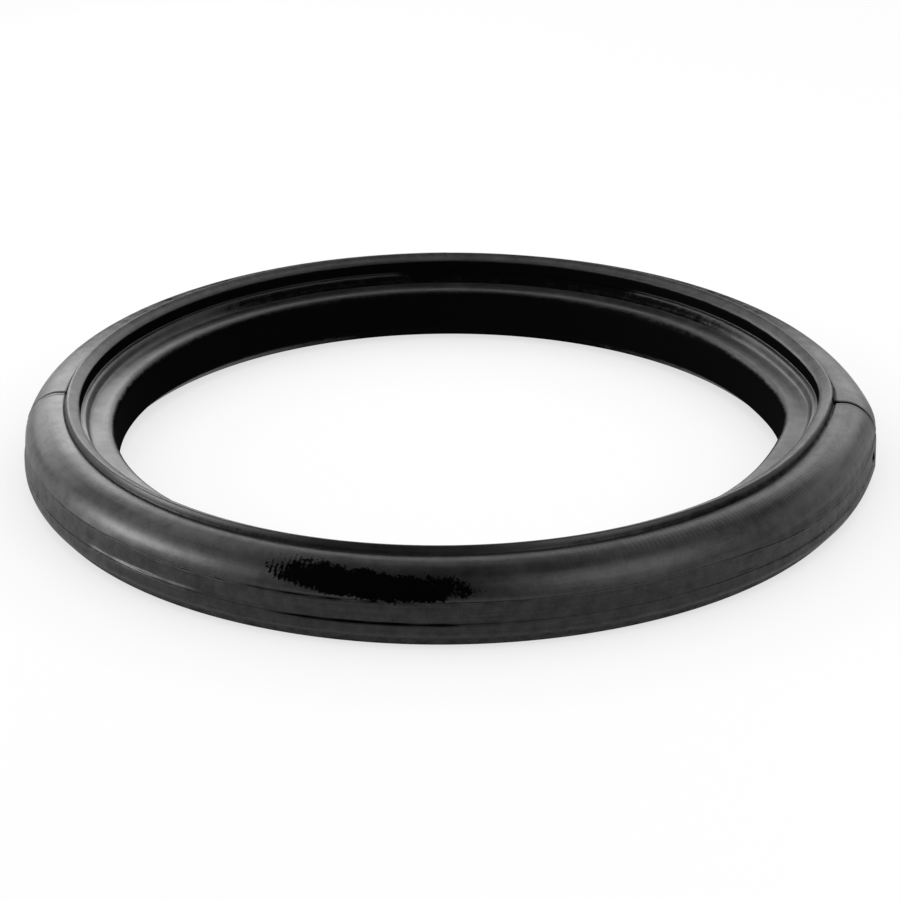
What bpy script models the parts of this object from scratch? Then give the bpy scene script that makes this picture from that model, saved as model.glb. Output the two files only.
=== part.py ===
# Flush pipe seal
#
# A moulded rubber ring that closes the gap between a flush pipe and the round
# inlet that the pipe is pushed into. It is one solid of revolution about +Z.
# The section is what makes it a seal. From the outside in it has:
#   a skirt and a band, stepped at the two lines where the mould parts,
#   a round bead that is squeezed against the inlet,
#   a narrow groove, and a thin crown that stands up behind it,
#   a fall from the crown in two steps, down to a flat ledge,
#   a soft lip under the ledge whose bore grips the pipe,
#   a foot, where the bore is narrowest, and a flare under it that guides the pipe in.
#
# Units are metres. The origin is the centre of the flat underside.

import bpy
import math
from mathutils import Vector

MM = 0.001

# Radial widths, from the bore outwards
BORE_RADIUS = 21.8 * MM       # at the foot, a little under the pipe's own radius
LIP_LEAN = 0.2 * MM           # how far the lip opens from the foot up to the ledge
LEDGE_WIDTH = 1.75 * MM
STEP_WIDTH = 0.3 * MM
WALL_DRAFT = 0.1 * MM         # slope of each short wall between ledge, step and crown
CROWN_WIDTH = 0.9 * MM
CREST_DRAFT = 0.1 * MM        # slope of the crown's outer wall
BEAD_SHOULDER = 0.6 * MM      # level strip on the bead, beside the groove
BEAD_FALL = 2.1 * MM          # from the level strip to the bead's widest place
PARTING_STEP = 0.05 * MM      # each mould line is a step outwards, going down
BAND_DRAFT = 0.08 * MM        # how far the band spreads between the two mould lines
SKIRT_TUCK = 0.75 * MM        # how far the skirt draws in to the underside
FOOT_FLARE = 1.1 * MM         # how far the underside starts outside the bore

# Heights, from the underside up over the bead to the crest
SKIRT_HEIGHT = 1.7 * MM
SKIRT_TUCK_HEIGHT = 0.85 * MM  # where the skirt starts to draw in
BAND_HEIGHT = 1.35 * MM
BEAD_HEIGHT = 1.95 * MM
GROOVE_DEPTH = 0.08 * MM
GROOVE_WIDTH = 0.16 * MM
CREST_HEIGHT = 0.5 * MM       # of the crest over the bead

# Drops, from the crest down into the bore
CROWN_FALL = 0.4 * MM
STEP_DROP = 0.8 * MM
LEDGE_DROP = 0.64 * MM
FOOT_HEIGHT = 1.0 * MM

# The bead's curve lies between a straight chamfer, 1, and a quarter ellipse, 2
BEAD_FULLNESS = 1.8
BEAD_POINTS = 11

# Radii of the rounded edges
CREST_ROUND = 0.10 * MM
GROOVE_ROUND = 0.08 * MM
CROWN_ROUND = 0.25 * MM
STEP_ROUND = 0.10 * MM
LIP_ROUND = 0.40 * MM
LEDGE_FILLET = 0.15 * MM
FOOT_ROUND = 0.15 * MM
EDGE_ROUND = 0.12 * MM
SKIRT_ROUND = 0.80 * MM

CORNER_SHARE = 0.45               # the most of a side that a rounded edge may take
ROUND_ANGLE = math.radians(30)    # the most that one facet of a rounded edge turns
STRAIGHT_ANGLE = math.radians(1)  # a corner that turns less than this stays a point
SEGMENTS = 96                     # round the ring

RUBBER_COLOR = (0.018, 0.018, 0.019, 1.0)
RUBBER_ROUGHNESS = 0.42


def clear_scene():
    for old in list(bpy.data.objects):
        bpy.data.objects.remove(old, do_unlink=True)


def rounded(before, corner, after, radius):
    """An arc of the given radius, tangent to both sides of a corner.

    Its tangent points lie radius * tan(half the turn) from the corner, but never
    further than a share of the shorter side, so that no edge eats its neighbour.
    """
    back = before - corner
    ahead = after - corner
    turn = math.pi - back.angle(ahead)
    if turn < STRAIGHT_ANGLE:
        return [corner]
    reach = min(radius * math.tan(turn / 2), CORNER_SHARE * min(back.length, ahead.length))
    start = corner + back.normalized() * reach
    end = corner + ahead.normalized() * reach
    arc_radius = reach / math.tan(turn / 2)
    inward = (back.normalized() + ahead.normalized()).normalized()
    centre = corner + inward * (arc_radius / math.cos(turn / 2))
    steps = max(1, math.ceil(turn / ROUND_ANGLE))
    arm = start - centre
    side = 1 if arm.angle_signed(end - centre) > 0 else -1
    points = []
    for step in range(steps + 1):
        angle = -side * turn * step / steps
        c, s = math.cos(angle), math.sin(angle)
        points.append(centre + Vector((arm.x * c - arm.y * s, arm.x * s + arm.y * c)))
    return points


def bead_curve(inner, outer, top, bottom):
    """A quarter of a superellipse, from the level top strip down to the widest place.

    x = inner + width * sin(t) ** (2 / fullness)
    z = bottom + height * cos(t) ** (2 / fullness), as t turns through a right angle
    """
    power = 2 / BEAD_FULLNESS
    points = []
    for step in range(BEAD_POINTS + 1):
        t = math.pi / 2 * step / BEAD_POINTS
        out = math.sin(t) ** power
        up = math.cos(t) ** power
        points.append(Vector((inner + (outer - inner) * out, bottom + (top - bottom) * up)))
    return points


def seal_section():
    """The closed section of the ring, as points (radius, height).

    It runs down the outer side from the crest, in along the underside, and up
    the bore and over the ledge, the step and the crown back to the crest.
    """
    lip_edge = BORE_RADIUS + LIP_LEAN
    ledge_outer = lip_edge + LEDGE_WIDTH
    step_inner = ledge_outer + WALL_DRAFT
    step_outer = step_inner + STEP_WIDTH
    crown_inner = step_outer + WALL_DRAFT
    crest = crown_inner + CROWN_WIDTH
    groove = crest + CREST_DRAFT
    shoulder = groove + BEAD_SHOULDER
    bead_outer = shoulder + BEAD_FALL
    band_outer = bead_outer + PARTING_STEP
    band_low = band_outer + BAND_DRAFT
    skirt_outer = band_low + PARTING_STEP

    upper_line = SKIRT_HEIGHT + BAND_HEIGHT
    bead_top = upper_line + BEAD_HEIGHT
    crest_top = bead_top + CREST_HEIGHT
    crown_low = crest_top - CROWN_FALL
    step_level = crown_low - STEP_DROP
    ledge_level = step_level - LEDGE_DROP

    # corners of the section, each with the radius that rounds it
    outer_corners = [
        (crest, crest_top, CREST_ROUND),
        (groove, bead_top - GROOVE_DEPTH, 0.0),
        (groove + GROOVE_WIDTH, bead_top, GROOVE_ROUND),
    ]
    inner_corners = [
        (band_outer, upper_line, 0.0),
        (band_low, SKIRT_HEIGHT, 0.0),
        (skirt_outer, SKIRT_HEIGHT, 0.0),
        (skirt_outer, SKIRT_TUCK_HEIGHT, SKIRT_ROUND),
        (skirt_outer - SKIRT_TUCK, 0.0, EDGE_ROUND),
        (BORE_RADIUS + FOOT_FLARE, 0.0, EDGE_ROUND),
        (BORE_RADIUS, FOOT_HEIGHT, FOOT_ROUND),
        (lip_edge, ledge_level, LIP_ROUND),
        (ledge_outer, ledge_level, LEDGE_FILLET),
        (step_inner, step_level, STEP_ROUND),
        (step_outer, step_level, LEDGE_FILLET),
        (crown_inner, crown_low, CROWN_ROUND),
    ]
    bead = [(p.x, p.y, 0.0) for p in bead_curve(shoulder, bead_outer, bead_top, upper_line)]

    corners = outer_corners + bead + inner_corners
    section = []
    for index, (x, z, radius) in enumerate(corners):
        corner = Vector((x, z))
        if radius == 0.0:
            section.append(corner)
            continue
        before = Vector(corners[index - 1][:2])
        after = Vector(corners[(index + 1) % len(corners)][:2])
        section.extend(rounded(before, corner, after, radius))
    return section


def rubber_material():
    rubber = bpy.data.materials.new("black_rubber")
    rubber.use_nodes = True
    shader = rubber.node_tree.nodes["Principled BSDF"]
    shader.inputs["Base Color"].default_value = RUBBER_COLOR
    shader.inputs["Roughness"].default_value = RUBBER_ROUGHNESS
    shader.inputs["Metallic"].default_value = 0.0
    return rubber


def seal_ring(collection):
    """Turns the section once round +Z, as the mould's own cavity was turned."""
    section = seal_section()
    count = len(section)
    mesh = bpy.data.meshes.new("seal_ring")
    points = [(p.x, 0.0, p.y) for p in section]
    edges = [(i, (i + 1) % count) for i in range(count)]
    mesh.from_pydata(points, edges, [])
    ring = bpy.data.objects.new("seal_ring", mesh)
    collection.objects.link(ring)

    turn = ring.modifiers.new("turn", "SCREW")
    turn.axis = "Z"
    turn.angle = 2 * math.pi
    turn.steps = SEGMENTS
    turn.render_steps = SEGMENTS
    turn.use_merge_vertices = True
    turn.merge_threshold = 0.000001
    turn.use_smooth_shade = True

    mesh.materials.append(rubber_material())
    return ring


def main():
    clear_scene()
    collection = bpy.data.collections.new("flush_pipe_seal")
    bpy.context.scene.collection.children.link(collection)
    seal_ring(collection)


main()
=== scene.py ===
# %% [markdown]
# # A flush pipe seal in black rubber
#
# The object is one moulded ring, 56 mm across, that seals a flush pipe into a
# round inlet. Everything that makes it a seal is in its section: a bead, a
# groove, a thin crown, two steps, a ledge and a soft lip. This lesson builds the
# ring as one numpy surface, gives it the marks that moulding leaves, and then
# makes its black rubber, its floor and its light.

# %% Load the measured model as a fixed frame
import math

import bpy
import numpy as np
from mathutils import Matrix, Vector


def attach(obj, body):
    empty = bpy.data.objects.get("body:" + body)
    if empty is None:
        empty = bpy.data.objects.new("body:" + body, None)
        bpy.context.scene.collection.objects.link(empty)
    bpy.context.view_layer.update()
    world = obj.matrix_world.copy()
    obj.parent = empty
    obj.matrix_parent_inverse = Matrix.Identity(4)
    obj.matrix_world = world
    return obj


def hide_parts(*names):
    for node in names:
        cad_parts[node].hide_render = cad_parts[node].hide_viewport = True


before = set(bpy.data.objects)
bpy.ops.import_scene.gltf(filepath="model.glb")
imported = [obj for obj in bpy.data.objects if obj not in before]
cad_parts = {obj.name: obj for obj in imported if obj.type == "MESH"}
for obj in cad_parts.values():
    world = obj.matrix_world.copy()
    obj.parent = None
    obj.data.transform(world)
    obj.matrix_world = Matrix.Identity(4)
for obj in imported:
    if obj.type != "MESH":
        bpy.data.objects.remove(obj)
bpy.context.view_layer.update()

MM = 0.001

# %% [markdown]
# ## The camera
#
# The ring is seen from a little above, by a long lens some 25 cm away, so its far
# side is only slightly smaller than its near side. The picture is rolled by less
# than half a degree. The camera could be aimed at the ring with a constraint, but
# the small sideways offsets would be lost, so its place is worked out from its
# own axes: across, up, and back from the ring.

# %% Place the camera
CAMERA_HEIGHT = math.radians(23.545)   # angle above the floor
CAMERA_ROLL = math.radians(-0.385)
CAMERA_LENS = 152.92                   # in mm, on a sensor 36 mm wide
CAMERA_AWAY = 252.99 * MM
CAMERA_ASIDE = -0.168 * MM
CAMERA_ABOVE = -0.762 * MM

level = Vector((1, 0, 0))
upright = Vector((0, math.sin(CAMERA_HEIGHT), math.cos(CAMERA_HEIGHT)))
forward = Vector((0, math.cos(CAMERA_HEIGHT), -math.sin(CAMERA_HEIGHT)))
across = math.cos(CAMERA_ROLL) * level + math.sin(CAMERA_ROLL) * upright
upward = math.cos(CAMERA_ROLL) * upright - math.sin(CAMERA_ROLL) * level

camera_data = bpy.data.cameras.new("camera")
camera_data.lens = CAMERA_LENS
camera_data.sensor_width = 36
camera_data.clip_start = 10 * MM
camera = bpy.data.objects.new("camera", camera_data)
turn = Matrix((across, upward, -forward)).transposed()
place = -(CAMERA_ASIDE * across + CAMERA_ABOVE * upward + CAMERA_AWAY * forward)
camera.matrix_world = Matrix.LocRotScale(place, turn.to_quaternion(), None)
bpy.context.scene.collection.objects.link(camera)
bpy.context.scene.camera = camera
print("camera at", [round(value / MM, 1) for value in place])

# %% [markdown]
# ## The section of the ring
#
# On the real seal the section is the whole design. The bead is squeezed in the
# inlet, the groove lets the crown bend, and the lip grips the pipe. It could be
# drawn as a curve and turned with a Screw modifier. A list of corners is easier
# to read and to measure: each has a radius from the ring's axis, a height and an
# edge round, all in millimetres.

# %% List the corners of the section
CREST_RADIUS, GROOVE_RADIUS, SHOULDER_RADIUS, BEAD_RADIUS = 25.05, 25.25, 25.85, 27.95
CREST_LEVEL, BEAD_TOP, PARTING_HIGH, PARTING_LOW = 5.485, 5.0, 3.05, 1.7
LEDGE_LEVEL, STEP_LEVEL = 3.66, 4.3
SKIRT_RADIUS, FOOT_LEVEL = 28.13, 1.0
SHARP = 0.02     # even a crisp edge of a rubber moulding is this round

corners_before_bead = np.array([
    (CREST_RADIUS, CREST_LEVEL, 0.14),      # crest of the crown
    (GROOVE_RADIUS, BEAD_TOP - 0.08, 0.04),
    (25.41, BEAD_TOP, 0.08),                # from the groove up to the bead
])
corners_after_bead = np.array([
    (BEAD_RADIUS, PARTING_HIGH, SHARP),     # a step out at each mould line
    (28.00, PARTING_HIGH, SHARP),
    (28.08, PARTING_LOW, SHARP),
    (SKIRT_RADIUS, PARTING_LOW, SHARP),
    (SKIRT_RADIUS, 0.85, 0.80),             # skirt
    (27.38, 0.0, 0.12),                     # flat underside
    (22.90, 0.0, 0.12),                     # flare up into the bore
    (21.80, FOOT_LEVEL, 0.15),              # foot
    (22.00, LEDGE_LEVEL, 0.55),             # lip
    (23.64, LEDGE_LEVEL, 0.28),             # back of the ledge
    (23.78, STEP_LEVEL - 0.12, 0.10),       # the step's edge is worn to a slope
    (23.86, STEP_LEVEL, 0.08),
    (24.18, STEP_LEVEL, 0.06),
    (24.25, 5.10, 0.25),                    # inner edge of the crown
])
print("corners without the bead:", len(corners_before_bead) + len(corners_after_bead))

# %% [markdown]
# ## The bead
#
# The bead isn't a circle: it is fuller near the top and falls more steeply
# towards the mould line. It could be a spline with handles, but a superellipse
# has just one number for that, between a straight chamfer at 1 and a plain
# ellipse at 2.

# %% Add the bead between them
BEAD_FULLNESS = 1.8
BEAD_POINTS = 40


def bead_curve():
    """Superellipse: out = width * sin(t) ** (2 / n), up = height * cos(t) ** (2 / n)."""
    t = np.linspace(0, np.pi / 2, BEAD_POINTS + 1)[:-1]
    out = (BEAD_RADIUS - SHOULDER_RADIUS) * np.sin(t) ** (2 / BEAD_FULLNESS)
    up = (BEAD_TOP - PARTING_HIGH) * np.cos(t) ** (2 / BEAD_FULLNESS)
    rounds = np.full(len(t), SHARP)
    return np.stack([SHOULDER_RADIUS + out, PARTING_HIGH + up, rounds], axis=1)


corners = np.vstack([corners_before_bead, bead_curve(), corners_after_bead])
print("section has", len(corners), "corners")

# %% [markdown]
# ## Round corners
#
# A sharp edge never catches light, and every edge of a rubber ring is round. A
# Bevel modifier could do it on the finished mesh, but an arc has a short formula
# that works on all corners at once: a weighted blend of the two tangent points
# and the corner itself.

# %% Round the corners
CORNER_SHARE = 0.45     # the most of a side that an arc may take
ARC_POINTS = 16


def unit(vectors):
    """Each vector divided by its own length."""
    return vectors / np.linalg.norm(vectors, axis=-1, keepdims=True)


def rounded_section(table):
    """Arcs at every corner: (a(1-u)^2 + 2wcu(1-u) + bu^2) / ((1-u)^2 + 2wu(1-u) + u^2).

    a and b are the tangent points, c is the corner, u runs from 0 to 1, and the
    weight w is the sine of half the corner's inside angle.
    """
    corner, radius = table[:, :2], table[:, 2:]
    back = np.roll(corner, 1, axis=0) - corner
    ahead = np.roll(corner, -1, axis=0) - corner
    inside = np.arccos(np.clip((unit(back) * unit(ahead)).sum(axis=1), -1, 1))[:, None]
    shorter = np.minimum(np.linalg.norm(back, axis=1), np.linalg.norm(ahead, axis=1))
    reach = np.minimum(radius / np.tan(inside / 2), CORNER_SHARE * shorter[:, None])
    start = (corner + unit(back) * reach)[:, None]
    end = (corner + unit(ahead) * reach)[:, None]
    u = np.linspace(0, 1, ARC_POINTS)[None, :, None]
    weight = np.sin(inside / 2)[:, :, None]
    middle = 2 * weight * u * (1 - u)
    arcs = start * (1 - u) ** 2 + corner[:, None] * middle + end * u ** 2
    return (arcs / ((1 - u) ** 2 + middle + u ** 2)).reshape(-1, 2)


fine_section = rounded_section(corners)
closed_section = np.vstack([fine_section, fine_section[:1]])
pace = np.linalg.norm(np.diff(closed_section, axis=0), axis=1)
run = np.concatenate([[0], np.cumsum(pace)])
print("round the section it is", round(run[-1], 2), "mm")

# %% [markdown]
# ## Rows where the section bends
#
# A mesh spends its points best where the shape bends. A subdivision surface would
# spread them evenly and soften the steps. Here a density says how many rows a
# stretch deserves, and the rows are set so that each pair holds the same share.
# The two mould lines get some more, because torn rubber will be drawn on them.

# %% Share out the rows
ROWS = 178
ROWS_PER_MM = 3.0
ROWS_PER_RADIAN = 5.6
LINE_ROWS_PER_MM = 55
LINE_REACH = 0.12


def hump(value, width):
    """A smooth hump, 1 at value 0 and 0.37 one width away."""
    return np.exp(-(value / width) ** 2)


def crowded(place, density, count):
    """Places at which the running sum of the density reaches equal shares."""
    middle = (density[1:] + density[:-1]) / 2
    total = np.concatenate([[0], np.cumsum(middle * np.diff(place))])
    return np.interp(np.arange(count) / count * total[-1], total, place)


direction = np.unwrap(np.arctan2(*np.diff(closed_section, axis=0).T[::-1]))
bend = np.interp(run, run[1:-1], np.abs(np.diff(direction)))
gap = np.interp(run, run[1:-1], (pace[1:] + pace[:-1]) / 2)
section_radius, section_height = closed_section.T
at_lines = sum(hump(section_height - line, LINE_REACH) for line in (PARTING_HIGH, PARTING_LOW))
at_lines = at_lines * (section_radius > SHOULDER_RADIUS)
density = ROWS_PER_MM + ROWS_PER_RADIAN * bend / gap + LINE_ROWS_PER_MM * at_lines
row_run = crowded(run, density, ROWS)
row_radius = np.interp(row_run, run, section_radius)
row_height = np.interp(row_run, run, section_height)
print("rows:", ROWS, "closest pair", round(np.diff(row_run).min(), 3), "mm")

# %% [markdown]
# ## Columns where the mould is split
#
# The same rule places the columns. They stand evenly round the ring, apart from
# three places where parts of the mould met and left a hairline. The count starts
# at the back, so that no hairline is cut in two.

# %% Share out the columns
COLUMNS = 560
SEAM_LEFT = math.radians(179.1)
SEAM_RIGHT = math.radians(355.2)
SPLIT_LOW = math.radians(351.8)
SEAM_CROWD = 8            # how much denser the columns stand at a seam
SEAM_REACH = 0.022        # radians over which they crowd
FINE_STEPS = 20000        # round the ring, to sum the density

azimuth = np.linspace(np.pi / 2, np.pi * 5 / 2, FINE_STEPS + 1)
near_seams = sum(hump(azimuth - at, SEAM_REACH) for at in (SEAM_LEFT, SEAM_RIGHT, SPLIT_LOW))
column_angle = crowded(azimuth, 1 + SEAM_CROWD * near_seams, COLUMNS)
print("closest columns", round(np.diff(column_angle).min() * BEAD_RADIUS, 4), "mm apart")

# %% [markdown]
# ## Marks as heights
#
# Every mark on the ring is a height over the plain section, in millimetres, for
# each pair of a place round the section and an angle round the ring. Marks could
# be bump in the material, but the larger ones show on the outline, so they move
# the mesh. Two shapes are enough to draw them: a hump and a smooth step. A third,
# a mean of seeded waves, makes them uneven.

# %% Lay out the fields
WAVES = 7


def rise(value, width):
    """A smooth step from 0 to 1, centred at value 0."""
    return 0.5 + 0.5 * np.tanh(value / width)


def drift(around, along, seed, turns, ripples):
    """A mean of cosines of (k * around + m * along + phase), with seeded k, m and phase."""
    draw = np.random.default_rng(seed)
    k = draw.integers(1, turns + 1, WAVES)
    m = draw.uniform(-ripples, ripples, WAVES)
    phase = draw.uniform(0, 2 * np.pi, WAVES)
    waves = np.cos(around[..., None] * k + along[..., None] * m + phase)
    return waves.mean(axis=-1)


angle, along = np.meshgrid(column_angle, row_run, indexing="ij")
radius = np.broadcast_to(row_radius, angle.shape)
height = np.broadcast_to(row_height, angle.shape)
# the marks lie outside the groove and above the skirt's lower edge
outside = rise(radius - GROOVE_RADIUS - 0.1, 0.04) * rise(height - 0.6, 0.2)
print("points on the ring:", angle.size)

# %% [markdown]
# ## Parting lines
#
# The mould opens along two lines round the outside. Rubber creeps into the gap
# and is torn off, which leaves a ragged ridge in some places and a small tear
# just under it in others. Which of the two it is changes round the ring: the ridge
# is strongest at the front left and the front right, and the tear in the middle.

# %% Draw the parting lines
RIDGE, RIDGE_WIDTH, RIDGE_ABOVE = 0.065, 0.140, 0.10
TEAR, TEAR_WIDTH, TEAR_BELOW = 0.070, 0.085, 0.05
RIDGE_ALL_ROUND, TEAR_ALL_ROUND = 0.10, 0.12
RAGGED_MEAN, RAGGED_TURNS = 0.70, 90


def shares(places):
    """How strong a mark is at each angle, from places as (degrees, reach in degrees, strength)."""
    humps = [much * hump(angle - math.radians(at), math.radians(reach)) for at, reach, much in places]
    return sum(humps)


def parting(level_of_line, seed, ridge_places, tear_places):
    """A ridge just over the line and a tear just under it, each with its own places."""
    ragged = np.clip(RAGGED_MEAN + drift(angle, 0 * along, seed, RAGGED_TURNS, 0), 0, 1)
    up = height - level_of_line
    ridge = RIDGE * (RIDGE_ALL_ROUND + shares(ridge_places)) * hump(up - RIDGE_ABOVE, RIDGE_WIDTH)
    tear = TEAR * (TEAR_ALL_ROUND + shares(tear_places)) * hump(up + TEAR_BELOW, TEAR_WIDTH)
    return ragged * outside * ridge, ragged * outside * tear


high_ridge, high_tear = parting(
    PARTING_HIGH, seed=3,
    ridge_places=[(212, 11, 0.9), (294, 9, 0.6), (324, 11, 1.3)],
    tear_places=[(196, 12, 0.30), (246, 24, 0.65), (277, 7, 0.3), (334, 9, 0.25)])
low_ridge, low_tear = parting(
    PARTING_LOW, seed=5,
    ridge_places=[(227, 12, 1.9), (291, 5, 0.6), (309, 5, 1.0)],
    tear_places=[(261, 15, 1.2), (325, 12, 0.6)])
ridges, tears = high_ridge + low_ridge, high_tear + low_tear
print("ridges up to", round(ridges.max(), 3), "mm, tears down to", round(tears.max(), 3), "mm")

# %% [markdown]
# ## Hairlines across the bead
#
# The upper half of the mould is itself split across at two places, left and
# right. Each split leaves a hairline with a low lip beside it and a small pit
# where it runs into the groove. The right one gaped a little more, so it is wider
# and deeper. The lower half has one short split, in the skirt near the right end.

# %% Draw the hairlines
HAIR_LIP = 0.020
HAIR_WANDER = 0.03        # how far a hairline strays from a straight cut
GROOVE_HALF = 0.06        # from the groove's inner edge to its middle
SPLIT_DEPTH, SPLIT_WIDTH, SPLIT_TOP = 0.15, 0.42, 2.4

pit_run = row_run[np.argmin(np.abs(row_radius - GROOVE_RADIUS - GROOVE_HALF))]


def hairline(at, side, depth, width, pit_depth, pit_width):
    """The lip beside one hairline, and the hairline with its pit, as two fields."""
    off = side * (angle - at) * radius + HAIR_WANDER * drift(along, along, 8, 1, 2.0)
    lip = HAIR_LIP * hump(off - 2.2 * width, width)
    line = depth * hump(off, width) * outside
    pit = pit_depth * hump(np.hypot(off, along - pit_run), pit_width)
    return lip * outside, np.maximum(line, pit)


left_lip, left_line = hairline(
    SEAM_LEFT, 1, depth=0.110, width=0.095, pit_depth=0.14, pit_width=0.12)
right_lip, right_line = hairline(
    SEAM_RIGHT, -1, depth=0.180, width=0.140, pit_depth=0.24, pit_width=0.20)
on_band = rise(height - PARTING_LOW - 0.05, 0.06) * rise(SPLIT_TOP - height, 0.06)
low_split = SPLIT_DEPTH * hump((angle - SPLIT_LOW) * radius, SPLIT_WIDTH) * on_band * outside
print("deepest hairline", round(max(left_line.max(), right_line.max()), 3), "mm")

# %% [markdown]
# ## Soft rubber is never quite round
#
# The ring is a little slimmer than its mould and a little oval, with three faint
# lobes. Where the halves of the mould meet, left and right, it is drawn out to a
# blunt point, and the right one is far stronger. The crown and the bore follow
# these points more gently. A lattice could bend the ring, but a formula in the
# angle says how much and where.

# %% Bend the ring out of round
SMALLER, OVAL, LOBES = 0.30, 0.118, 0.035
POINT_RIGHT, POINT_RIGHT_ANGLE = 0.55, math.radians(358)
POINT_LEFT, POINT_LEFT_ANGLE = 0.13, math.radians(182)
POINT_REACH, POINT_ROUND = math.radians(8), math.radians(2.5)
INNER_BENDS = [
    # angle, reach, mm
    (math.radians(0), math.radians(13), 0.50),
    (math.radians(195), math.radians(45), 0.28),
]


def turned_from(at):
    """Angle from one place on the ring, between minus and plus half a turn."""
    return np.mod(angle - at + np.pi, 2 * np.pi) - np.pi


def blunt_point(at):
    """A cusp with a round top: exp((s - sqrt(d ** 2 + s ** 2)) / w) at an angle d from it."""
    return np.exp((POINT_ROUND - np.hypot(turned_from(at), POINT_ROUND)) / POINT_REACH)


oval = LOBES * np.cos(3 * angle) - OVAL * np.cos(2 * angle) - SMALLER
outer = POINT_RIGHT * blunt_point(POINT_RIGHT_ANGLE) + POINT_LEFT * blunt_point(POINT_LEFT_ANGLE)
inner = sum(much * hump(turned_from(at), reach) for at, reach, much in INNER_BENDS)
outer_share = rise(radius - SHOULDER_RADIUS + 0.5, 0.4)
out_of_round = oval + outer_share * outer + (1 - outer_share) * inner
print("out of round by", round(np.ptp(out_of_round), 3), "mm")

# %% [markdown]
# Just before the right seam the mould lines sag, and the rubber stands a little
# proud of what lies beyond the seam, because the halves of the mould didn't quite
# match. A slow unevenness of a hundredth of a millimetre goes all round. All marks
# are then added up to one relief.

# %% Let the mould lines sag
SAG, SAG_REACH = 0.62, 1.3
SAG_FROM, SAG_FROM_WIDTH = math.radians(316), math.radians(8)
SAG_TO, SAG_TO_WIDTH = math.radians(352), math.radians(4)
MISMATCH, MISMATCH_REACH = 0.04, 0.12
UNEVEN = 0.010

sag_share = rise(angle - SAG_FROM, SAG_FROM_WIDTH) * rise(SAG_TO - angle, SAG_TO_WIDTH)
sag = SAG * sag_share * hump(height - PARTING_HIGH, SAG_REACH) * outside
before_seam = (SEAM_RIGHT - angle) * (angle > np.pi)
mismatch = MISMATCH * hump(before_seam, MISMATCH_REACH) * rise(before_seam * radius, 0.04)
unevenness = UNEVEN * (drift(angle, along, 21, 24, 1.2) - 1) + mismatch
relief = ridges - tears + left_lip + right_lip - left_line - right_line - low_split
relief = relief + unevenness * outside
print("lines sag by", round(sag.max(), 2), "mm")

# %% [markdown]
# ## The ring as a surface
#
# A point of the ring is its section's point, moved along the section's own normal
# by the relief and turned to its angle. No mark goes further out than the skirt.
# Rows and columns both close on themselves, so the mesh is a torus without an
# edge or a pole.

# %% Place the points
HEADROOM = 0.02     # kept free under the skirt's radius for the relief

neighbours = np.stack([row_radius, row_height], axis=1)
tangent = unit(np.roll(neighbours, -1, axis=0) - np.roll(neighbours, 1, axis=0))
normal_out, normal_up = -tangent[:, 1], tangent[:, 0]

ring_radius = np.minimum(radius + out_of_round, SKIRT_RADIUS - HEADROOM) + normal_out * relief
ring_radius = np.minimum(ring_radius, SKIRT_RADIUS)
ring_height = np.clip(height - sag + normal_up * relief, 0, None)
points = MM * np.stack([
    ring_radius * np.cos(angle),
    ring_radius * np.sin(angle),
    ring_height,
], axis=-1)
print("widest", round(ring_radius.max(), 3), "mm, highest", round(ring_height.max(), 3), "mm")

# %% [markdown]
# Each face joins four neighbours: two rows on one column and the same two rows on
# the next. The corners run so that the face looks outwards.

# %% Join them with faces
column, row = np.meshgrid(np.arange(COLUMNS), np.arange(ROWS), indexing="ij")
next_column, next_row = (column + 1) % COLUMNS, (row + 1) % ROWS
faces = np.stack([
    column * ROWS + row,
    column * ROWS + next_row,
    next_column * ROWS + next_row,
    next_column * ROWS + row,
], axis=-1).reshape(-1, 4)

ring_mesh = bpy.data.meshes.new("rubber_ring")
ring_mesh.from_pydata(points.reshape(-1, 3).tolist(), [], faces.tolist())
ring_mesh.polygons.foreach_set("use_smooth", np.ones(len(faces), bool))
ring = bpy.data.objects.new("rubber_ring", ring_mesh)
bpy.context.scene.collection.objects.link(ring)
print("ring has", 2 * len(faces), "triangles")

# %% [markdown]
# The UV map is the same grid laid flat, with the angle across and the section up,
# so a pattern painted on it would follow the ring.

# %% Unroll it into a UV map
corner_u = np.stack([column, column, column + 1, column + 1], axis=-1) / COLUMNS
corner_v = np.stack([row, row + 1, row + 1, row], axis=-1) / ROWS
layout = ring_mesh.uv_layers.new(name="unrolled")
layout.data.foreach_set("uv", np.stack([corner_u, corner_v], axis=-1).ravel())
print("corners in the UV map:", corner_u.size)

# %% [markdown]
# ## Where shade is painted as dull black rubber
#
# The walls that face the bore, the foot and the underside get painted shade: a
# dull, nearly black finish where these hollows fall into shade. So do the crown's
# outer wall, the groove, and the bottoms of the tears and the hairlines. Shader
# nodes could find these by normals, but the section knows them exactly, so the
# share is stored on the points for the material to read.

# %% Find how far each row is a wall
CREST_SHADE_DEPTH, CREST_BASE_SHADE_DEPTH, CREST_BASE_HEIGHT = 0.64, 0.28, 0.18
GROOVE_REACH = 0.16

inward, downward = np.clip(-normal_out, 0, 1), np.clip(-normal_up, 0, 1)
faces_bore = np.hypot(inward, downward)
# painted shade: over the ledge only a steep wall gets it, under it even a leaning one does
in_bore = np.where(row_height > LEDGE_LEVEL + 0.01, faces_bore ** 2, faces_bore ** 0.6)
faces_crest = np.clip(normal_out, 0, 1) * (row_radius < GROOVE_RADIUS + 0.02)
at_base = hump(row_height - BEAD_TOP, CREST_BASE_HEIGHT)
crest_wall = faces_crest * (CREST_SHADE_DEPTH + CREST_BASE_SHADE_DEPTH * at_base)
in_groove = hump(row_radius - GROOVE_RADIUS - GROOVE_HALF, GROOVE_REACH)
groove_floor = in_groove * (row_height > PARTING_HIGH)
print("rows that are walls:", int((in_bore > 0.7).sum()))
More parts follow.
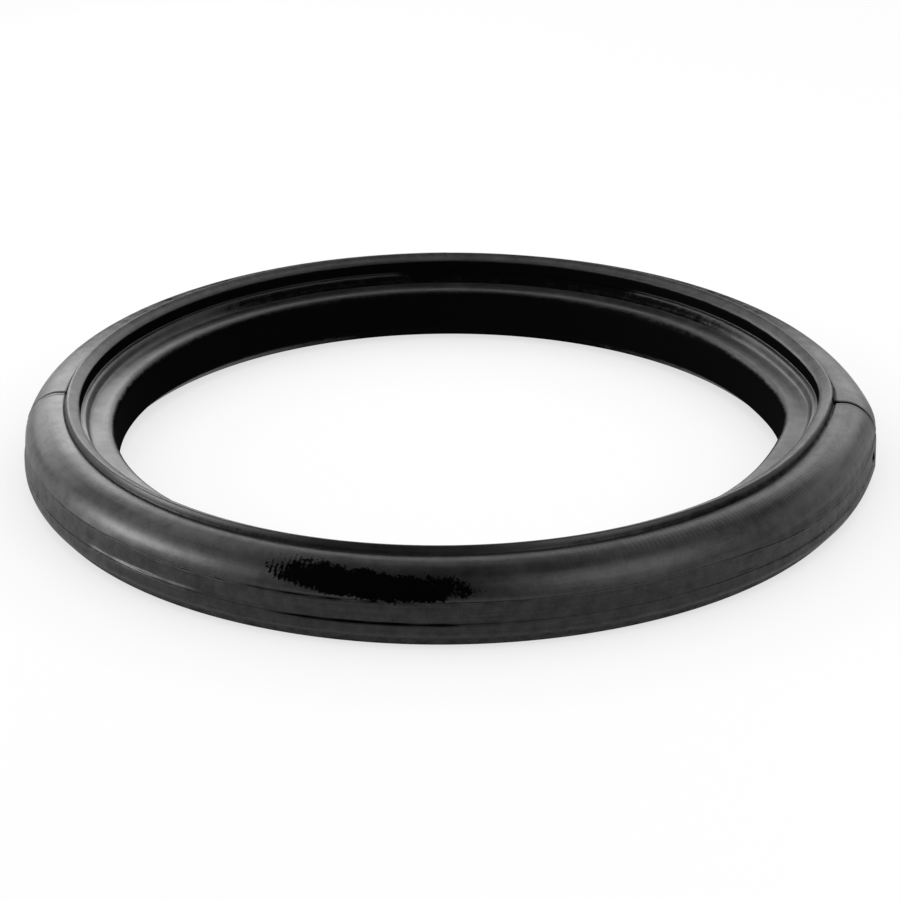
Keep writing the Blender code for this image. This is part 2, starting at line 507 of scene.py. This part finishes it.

# %% [markdown]
# The painted shade on the walls is not equally deep all round: it is lighter or
# darker by where the light falls. First come the stretches of the circle that
# matter, each as a share that is 1 in its middle and fades to its ends.

# %% Name the stretches of the circle
FAR_ANGLE = math.radians(82)

far = hump(turned_from(FAR_ANGLE), math.radians(50))
near = rise(-np.sin(angle) - 0.10, 0.05)
ends = rise(np.abs(turned_from(FAR_ANGLE)) - math.radians(54), math.radians(8))
at_back = rise(math.radians(23) - np.abs(turned_from(math.radians(77))), math.radians(3))
at_left = hump(turned_from(math.radians(198)), math.radians(24))
at_front = hump(turned_from(math.radians(271)), math.radians(17))
print("share of the ring that counts as its ends:", round(float(ends.mean()), 2))

# %% [markdown]
# The painted shade is lifted where more light falls: the bore's foot and the low
# wall over the ledge shine a little at the two ends, and the inner side of the
# crown shines all along the near side.

# %% Lift the painted shade from some walls of the bore
LOW_WALL_SHINE, FOOT_SHINE, CROWN_SHINE = 0.6, 0.52, 0.6

inner_side = (height > LEDGE_LEVEL + 0.05) * (radius < GROOVE_RADIUS - 0.25)
low_wall = (height > LEDGE_LEVEL + 0.01) * (height < STEP_LEVEL - 0.08) * (radius < 24.0)
foot_zone = (height < FOOT_LEVEL - 0.28) * (radius < 23.0)
# painted light: the painted shade of the bore is eased at the ends and along the near side
shine = LOW_WALL_SHINE * low_wall * ends + FOOT_SHINE * foot_zone * (1 - far)
shine = shine + CROWN_SHINE * inner_side * near
bore_shade = in_bore * (1 - np.clip(shine, 0, 1))
print("dullest point of the bore:", round(float(bore_shade.max()), 2))

# %% [markdown]
# The step gets painted shade only at the back, where the crown stands over it, and
# so does the low wall under it. The crown's outer wall gets less of it at the left
# and at the front, and the groove less at the front, where more light falls. Where
# two of these meet, the darker one holds.

# %% Painted shade on walls and edges
CREST_LEFT_SHINE, CREST_FRONT_SHINE = 0.30, 0.26
GROOVE_SHADE_DEPTH, GROOVE_FRONT_SHINE = 0.86, 0.32
LOW_WALL_SHADE_DEPTH = 0.9

on_step = (height > STEP_LEVEL - 0.3) * (height < STEP_LEVEL + 0.3) * (radius < 24.3)
# painted shade on the crest wall, the groove and the step, eased where light falls
crest_shade = crest_wall * (1 - CREST_LEFT_SHINE * at_left - CREST_FRONT_SHINE * at_front)
groove_shade = groove_floor * (GROOVE_SHADE_DEPTH - GROOVE_FRONT_SHINE * at_front)
step_shade = np.maximum(on_step * at_back, LOW_WALL_SHADE_DEPTH * low_wall * (1 - ends))
wall_shade = np.maximum.reduce([bore_shade, crest_shade, groove_shade, step_shade])
print("mean dullness of the walls:", round(float(wall_shade.mean()), 2))

# %% [markdown]
# The bottoms of the tears and the hairlines get painted shade too: the deeper, the
# darker, up to a depth at which no gloss is left.

# %% Store the painted shade
TEAR_BLACK, LEFT_BLACK, RIGHT_BLACK = 0.65 * TEAR, 0.07, 0.06     # such depths in mm

line_shade = tears / TEAR_BLACK + left_line / LEFT_BLACK + (right_line + low_split) / RIGHT_BLACK
painted_shade_field = np.maximum(wall_shade, np.clip(line_shade, 0, 1))
# the stored share is painted shade: dull black where walls, the groove and the lines fall into shade
stored = ring_mesh.attributes.new("dullness", "FLOAT", "POINT")
stored.data.foreach_set("value", painted_shade_field.ravel())
print("dull share of the points:", round(float((painted_shade_field > 0.7).mean()), 2))

# %% [markdown]
# ## Shader maths as plain expressions
#
# A material is easier to read as a formula than as a web of nodes. This class
# wraps a socket, and every plus, minus, times or divide on it adds a Math node.
# All other nodes come from one function.

# %% A socket that can be calculated with
class Wire:
    """A shader socket that adds, subtracts, multiplies and divides like a number."""

    def __init__(self, tree, socket):
        self.tree = tree
        self.socket = socket

    def math(self, operation, first, second=0.0):
        """A Math node with this operation, as a wire."""
        return node(self.tree, "ShaderNodeMath", {"operation": operation}, {0: first, 1: second})

    def beside(self, name):
        """Another output of the same node."""
        return Wire(self.tree, self.socket.node.outputs[name])

    def __add__(self, other):
        return self.math("ADD", self, other)

    def __sub__(self, other):
        return self.math("SUBTRACT", self, other)

    def __rsub__(self, other):
        return self.math("SUBTRACT", other, self)

    def __mul__(self, other):
        return self.math("MULTIPLY", self, other)

    def __truediv__(self, other):
        return self.math("DIVIDE", self, other)

    def __rtruediv__(self, other):
        return self.math("DIVIDE", other, self)

    __radd__ = __add__
    __rmul__ = __mul__


def node(tree, kind, settings, sockets, output=0):
    """Adds one node: its settings first, then a value or a wire for each socket."""
    made = tree.nodes.new(kind)
    for name, value in settings.items():
        setattr(made, name, value)
    for name, value in sockets.items():
        if isinstance(value, Wire):
            tree.links.new(value.socket, made.inputs[name])
        else:
            made.inputs[name].default_value = value
    return Wire(tree, made.outputs[output] if made.outputs else None)


# %% [markdown]
# Patterns need two more helpers: a smooth step for every mask, and noise whose
# size is given in cells to the millimetre.

# %% Two helpers for patterns
def between(value, low, high):
    """0 up to low, 1 from high on, and a smooth rise between them."""
    settings = {"interpolation_type": "SMOOTHSTEP"}
    sockets = {"Value": value, "From Min": low, "From Max": high}
    return node(value.tree, "ShaderNodeMapRange", settings, sockets)


def noise(place, cells, detail):
    """Noise from 0 to 1 with so many cells to the millimetre."""
    sockets = {"Vector": place, "Scale": cells, "Detail": detail}
    return node(place.tree, "ShaderNodeTexNoise", {}, sockets)


# %% [markdown]
# ## Black rubber
#
# Moulded rubber is close to black, but never one black. Wax rises in faint grey
# clouds, the turned mould prints its fine circles, and the grain scatters the
# gloss. Patterns are laid in the ring's own round coordinates, in millimetres,
# so that they follow the ring and keep their size.

# %% Find where a point lies on the ring
rubber = bpy.data.materials.new("moulded_rubber")
rubber.use_nodes = True
tree = rubber.node_tree
tree.nodes.clear()

metres = node(tree, "ShaderNodeTexCoord", {}, {}, "Object")
spot = node(tree, "ShaderNodeVectorMath", {"operation": "SCALE"}, {0: metres, "Scale": 1 / MM})
spot_x = node(tree, "ShaderNodeSeparateXYZ", {}, {0: spot})
spot_y = spot_x.beside("Y")
spot_z = spot_x.beside("Z")
spot_radius = spot_x.math("SQRT", spot_x * spot_x + spot_y * spot_y)
spot_angle = spot_x.math("ARCTAN2", spot_y, spot_x)
print("nodes for the place:", len(tree.nodes))

# %% [markdown]
# Three sizes of noise are enough: clouds of wax several millimetres wide, a
# mottle under a millimetre, and the grain of the mould's own surface.

# %% Clouds, mottle and grain
clouds = noise(spot, 0.30, 2.0)
mottle = noise(spot, 1.3, 3.0)
grain = noise(spot, 6.0, 2.0)
wax = between(clouds, 0.40, 0.68)
print("nodes with the noises:", len(tree.nodes))

# %% [markdown]
# The mould was turned on a lathe, so its cutting marks run round the ring. Noise
# that changes fast across the section and slowly round the ring draws them.

# %% Circles printed by the turned mould
CIRCLES_PER_MM = 5.0
TURNS_ALONG = 2.0     # how slowly a circle changes round the ring
lathe_place = node(
    tree, "ShaderNodeCombineXYZ", {},
    {"X": spot_radius * CIRCLES_PER_MM, "Y": spot_z * CIRCLES_PER_MM, "Z": spot_angle * TURNS_ALONG})
circles = noise(lathe_place, 1.0, 2.0)
print("circles are", 1 / CIRCLES_PER_MM, "mm apart")

# %% [markdown]
# On the right front of the bead fine ribs cross it, a third of a millimetre
# apart, as a worn brush leaves them. They fade in and out with the mottle.

# %% Ribs across the bead
RIBS = 500.0          # round the whole ring
rib_wave = spot_x.math("SINE", spot_angle * RIBS)
on_bead = between(spot_radius, 25.2, 25.5) * between(27.3 - spot_radius, 0.0, 0.9)
on_right_front = between(spot_x, 2.0, 12.0) * between(0.0 - spot_y, 6.0, 11.0)
ribs = rib_wave * on_bead * on_right_front * between(mottle, 0.35, 0.6)
print("ribs are", round(2 * math.pi * BEAD_RADIUS / RIBS, 2), "mm apart")

# %% [markdown]
# At the front left of the bead lies a painted reflection of the dark room in
# front: a patch without gloss, where the rubber stays deep black. It is a blunt
# oval in angle and height, bent up at its left end. The mottle and the grain break
# up its edge, and the ribs comb its left end a little.

# %% A painted dark reflection on the bead
PATCH_ANGLE, PATCH_HALF_ANGLE = math.radians(-99.6), math.radians(13.6)
PATCH_HEIGHT, PATCH_HALF_HEIGHT = 3.74, 0.80
PATCH_BEND, PATCH_BEND_SIDE = 0.22, 0.6
from_side = (spot_angle - PATCH_ANGLE) / PATCH_HALF_ANGLE
from_low = from_side - PATCH_BEND_SIDE
patch_middle = PATCH_HEIGHT + from_low * from_low * PATCH_BEND
from_height = (spot_z - patch_middle) / PATCH_HALF_HEIGHT
side_squared = from_side * from_side
from_middle = (side_squared * side_squared + side_squared) * 0.5 + from_height * from_height
combed = rib_wave * between(0.0 - from_side, 0.3, 0.9) * 0.15
patch_inside = 1.05 - from_middle + (mottle - 0.5) * 1.6 + (grain - 0.5) * 1.3 + combed
# painted dark reflection: where this is 1, the bead loses all gloss and stays black
dark_reflection_patch = between(patch_inside, 0.0, 0.45) * between(spot_radius, 25.5, 26.0)
print("patch is", round(2 * PATCH_HALF_ANGLE * BEAD_RADIUS, 1), "mm long")

# %% [markdown]
# ## Colour and painted shade
#
# The rubber's own colour goes from deep black to the grey of the wax clouds. The
# stored share of painted shade is frayed by the mottle and the grain, so that a
# shaded wall ends in a ragged edge and not in a ruled line.

# %% Colour, roughness and the ragged edge
DEEP = (0.004, 0.004, 0.0042, 1)
BLOOMED = (0.012, 0.012, 0.0125, 1)

# the stored share of painted shade from the section
stored_shade = node(tree, "ShaderNodeAttribute", {"attribute_name": "dullness"}, {}, "Fac")
ragged_shade = stored_shade + (mottle - 0.5) * 0.25 + (grain - 0.5) * 0.20
shade_mask = between(ragged_shade, 0.56, 0.93)
bloom = wax * 0.7 + mottle * 0.3
colour = node(
    tree, "ShaderNodeMix", {"data_type": "RGBA"},
    {0: bloom, 6: DEEP, 7: BLOOMED}, 2)
roughness = 0.40 + wax * 0.05 + (mottle - 0.5) * 0.08 + (circles - 0.5) * 0.05

# %% [markdown]
# The relief that is too fine for the mesh goes through a Bump node: the mottle,
# the grain, the lathe's circles and the ribs, a few thousandths of a millimetre
# high.

# %% Relief too fine for the mesh
fine_relief = (mottle - 0.5) * 0.0040 + (grain - 0.5) * 0.0030
fine_relief = fine_relief + (circles - 0.5) * 0.0012 + ribs * 0.0016
bump = node(tree, "ShaderNodeBump", {}, {"Height": fine_relief, "Distance": MM, "Strength": 1.0})

# %% [markdown]
# No polish is even. The mottle, the lathe's circles, the grain and the ribs each
# wear it a little. On top of the far side and under the bead the gloss is taken
# away as painted shade, and on the painted dark reflection nothing of it is left.

# %% Where the polish is worn, and where shade is painted
on_top = between(spot_z, 4.2, 4.8)
on_far_crown = between(spot_y, 1.0, 13.0) * between(spot_radius, 24.3, 24.6) * on_top
on_far_bead = between(spot_y, 6.0, 19.0) * between(spot_radius, 25.2, 25.5) * on_top
# painted shade: the far side's top and the band under the bead lose gloss and come out darker
far_side_shade = on_far_crown * 0.38 + on_far_bead * 0.36
under_bead_shade = between(3.2 - spot_z, 0.0, 0.4) * 0.24
uneven_polish = (0.64 - mottle) * 0.65 + (0.5 - circles) * 0.35 + (0.5 - grain) * 0.35
wear_and_painted_shade = uneven_polish + ribs * 0.15 + far_side_shade + under_bead_shade + dark_reflection_patch * 1.1

# %% [markdown]
# ## The finish
#
# The polished rubber is a Principled shader, and the dull rubber, which carries the
# painted shade, a Diffuse one that is nearly black. A Mix Shader joins them. Its
# factor is the stored painted shade where it is strong, and elsewhere the wear
# with its own painted shade.

# %% Join polished rubber and the dull black of the painted shade
# SHADE_BLACK is the colour of the painted shade
SHADE_BLACK = (0.0015, 0.0015, 0.0015, 1)
RUBBER_IOR = 1.52
DULLEST = 0.985     # even a dull wall keeps a trace of gloss

polished = node(
    tree, "ShaderNodeBsdfPrincipled", {},
    {"Base Color": colour, "Roughness": roughness, "Normal": bump, "IOR": RUBBER_IOR})
dull = node(tree, "ShaderNodeBsdfDiffuse", {}, {"Color": SHADE_BLACK})
dull_share = shade_mask * DULLEST + (1.0 - shade_mask) * wear_and_painted_shade
dullness = node(tree, "ShaderNodeClamp", {}, {"Value": dull_share})
finish = node(tree, "ShaderNodeMixShader", {}, {"Fac": dullness, 1: polished, 2: dull})
node(tree, "ShaderNodeOutputMaterial", {}, {"Surface": finish})
ring_mesh.materials.append(rubber)
print("rubber has", len(tree.nodes), "nodes")

# %% [markdown]
# ## The ring in the measured model
#
# The ring is one piece and doesn't move, so it rides on the root and stands for
# the one measured solid.

# %% Let the ring stand for the measured one
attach(ring, "root")
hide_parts("seal_ring")
print(ring.name, "stands for the measured ring")

# %% [markdown]
# ## Floor
#
# The ring lies on white paper. A real sheet under lamps as soft as these would
# come out pale grey, so the camera and the reflections see it glow at strength 1,
# the white of the picture. A share of plain paper stays in the mix, and the glow
# fades where the ring shuts the floor in, so the ring keeps its shadow.

# %% Lay the floor
FLOOR_HALF = 1.5
floor_mesh = bpy.data.meshes.new("floor")
floor_corners = [
    (-FLOOR_HALF, -FLOOR_HALF, 0),
    (FLOOR_HALF, -FLOOR_HALF, 0),
    (FLOOR_HALF, FLOOR_HALF, 0),
    (-FLOOR_HALF, FLOOR_HALF, 0),
]
floor_mesh.from_pydata(floor_corners, [], [(0, 1, 2, 3)])
floor = bpy.data.objects.new("floor", floor_mesh)
bpy.context.scene.collection.objects.link(floor)
print("floor is", 2 * FLOOR_HALF, "m wide")

# %% [markdown]
# Light Path tells what kind of ray looks at the paper. The camera, reflections and
# clear materials see it glow, and all other rays meet plain matt paper. Ambient
# Occlusion measures how open the floor is, which gives the soft shadow.

# %% Make the white paper
PAPER = (0.9, 0.9, 0.9, 1)
GLOW_SHARE = 0.96
SHADOW_REACH = 9 * MM
SHADOW_DEPTH = 0.32

paper = bpy.data.materials.new("white_paper")
paper.use_nodes = True
tree = paper.node_tree
tree.nodes.clear()

camera_ray = node(tree, "ShaderNodeLightPath", {}, {}, "Is Camera Ray")
glossy_ray = camera_ray.beside("Is Glossy Ray")
clear_ray = camera_ray.beside("Is Transmission Ray")
seen = camera_ray.math("MAXIMUM", camera_ray.math("MAXIMUM", camera_ray, glossy_ray), clear_ray)
openness = node(tree, "ShaderNodeAmbientOcclusion", {}, {"Distance": SHADOW_REACH}, "AO")
strength = 1.0 - SHADOW_DEPTH * (1.0 - openness)
matt = node(tree, "ShaderNodeBsdfDiffuse", {}, {"Color": PAPER})
glow = node(tree, "ShaderNodeEmission", {}, {"Strength": strength})
sheet = node(tree, "ShaderNodeMixShader", {}, {"Fac": seen * GLOW_SHARE, 1: matt, 2: glow})
node(tree, "ShaderNodeOutputMaterial", {}, {"Surface": sheet})
floor_mesh.materials.append(paper)
print("paper has", len(tree.nodes), "nodes")

# %% [markdown]
# ## Light
#
# Black rubber shows its light more than its colour: each tone on it is a softbox
# seen in a rough mirror. So the lamps are a ring of soft boxes at a plain level.
# They stand close, because the left end of the ring is brighter than the right
# one, and only near lamps change along an object this small. Light comes mostly
# from behind and from the left; a broad box at the front right lifts the front.

# %% Hang the softboxes
lamps = {
    # name: degrees round, degrees up, mm away, mm wide, mm tall, radiance
    "left": (180, 15, 300, 108, 90, 19.0),
    "left_high": (180, 36, 100, 36, 36, 1.8),
    "left_top": (166, 57, 100, 30, 34, 3.6),
    "back_left": (128, 15, 100, 80, 30, 3.8),
    "back_left_high": (118, 32, 100, 48, 30, 6.2),
    "back": (84, 32, 300, 170, 90, 1.9),
    "back_low": (74, 15, 300, 270, 90, 3.6),
    "back_top": (72, 52, 100, 64, 30, 1.7),
    "top": (90, 78, 100, 36, 44, 0.8),
    "right_high": (44, 32, 100, 44, 30, 1.7),
    "right": (20, 15, 100, 100, 30, 1.3),
    "right_top": (5, 62, 100, 30, 34, 1.6),
    "front_left": (210, 20, 100, 36, 30, 5.0),
    "front_right": (315, 30, 100, 72, 60, 3.0),
}


def softbox(name, round_degrees, up_degrees, away, wide, tall, radiance):
    """A rectangular lamp that faces the ring; its power is radiance * pi * its area."""
    lamp = bpy.data.lights.new(name, "AREA")
    lamp.shape = "RECTANGLE"
    lamp.size = wide * MM
    lamp.size_y = tall * MM
    lamp.energy = radiance * math.pi * lamp.size * lamp.size_y
    turned, lifted = math.radians(round_degrees), math.radians(up_degrees)
    flat = math.cos(lifted)
    toward = Vector((math.cos(turned) * flat, math.sin(turned) * flat, math.sin(lifted)))
    box = bpy.data.objects.new(name, lamp)
    box.matrix_world = Matrix.LocRotScale(toward * away * MM, toward.to_track_quat("Z", "Y"), None)
    box.visible_camera = False
    bpy.context.scene.collection.objects.link(box)


for name, settings in lamps.items():
    softbox(name, *settings)
print("softboxes:", len(lamps))

# %% [markdown]
# The room around is nearly dark, so that the bore of the ring stays black.

# %% Darken the room
ROOM_LEVEL = 0.02
world = bpy.data.worlds.new("room")
world.use_nodes = True
room = world.node_tree.nodes["Background"]
room.inputs["Color"].default_value = (1, 1, 1, 1)
room.inputs["Strength"].default_value = ROOM_LEVEL
bpy.context.scene.world = world
bpy.context.scene.view_settings.view_transform = "Standard"
print("room at", ROOM_LEVEL)
